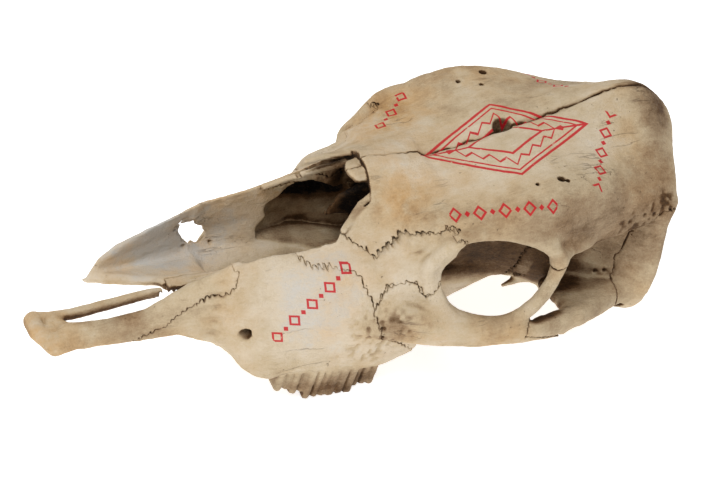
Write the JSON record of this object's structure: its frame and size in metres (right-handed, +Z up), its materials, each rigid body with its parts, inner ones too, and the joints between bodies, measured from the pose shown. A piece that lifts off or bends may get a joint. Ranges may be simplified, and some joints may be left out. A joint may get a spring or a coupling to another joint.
{
  "type": "cow skull",
  "caption": "Polled cow skull without its lower jaw, with worn cheek teeth, open nasal cavity and a long premaxilla, resting on its teeth and neck processes.",
  "frame": {"origin": "centre of the bounding box's bottom, at the floor that the skull rests on", "axes": "+X from the muzzle to the poll, +Y to the animal's right, +Z up as it rests"},
  "size_m": [0.4628, 0.2166, 0.1789],
  "materials": {
    "cream_bone": "dry matt bone, warm cream",
    "pale_bone": "dry matt bone, pale grey cream",
    "tan_bone": "dry matt bone, tan",
    "ivory_bone": "dry matt bone, ivory, with worn teeth"
  },
  "bodies": {
    "root": {"premaxilla_left": "cream_bone", "vomer": "tan_bone", "frontal_left": "cream_bone", "frontal_right": "cream_bone", "lacrimal_left": "pale_bone", "lacrimal_right": "pale_bone", "zygomatic_left": "cream_bone", "zygomatic_right": "cream_bone", "palatine_left": "tan_bone", "palatine_right": "tan_bone", "sphenoid": "tan_bone", "temporal_left": "cream_bone", "temporal_right": "cream_bone", "maxilla_left": "ivory_bone", "maxilla_right": "ivory_bone", "occipital": "pale_bone"}
  },
  "joints": []
}
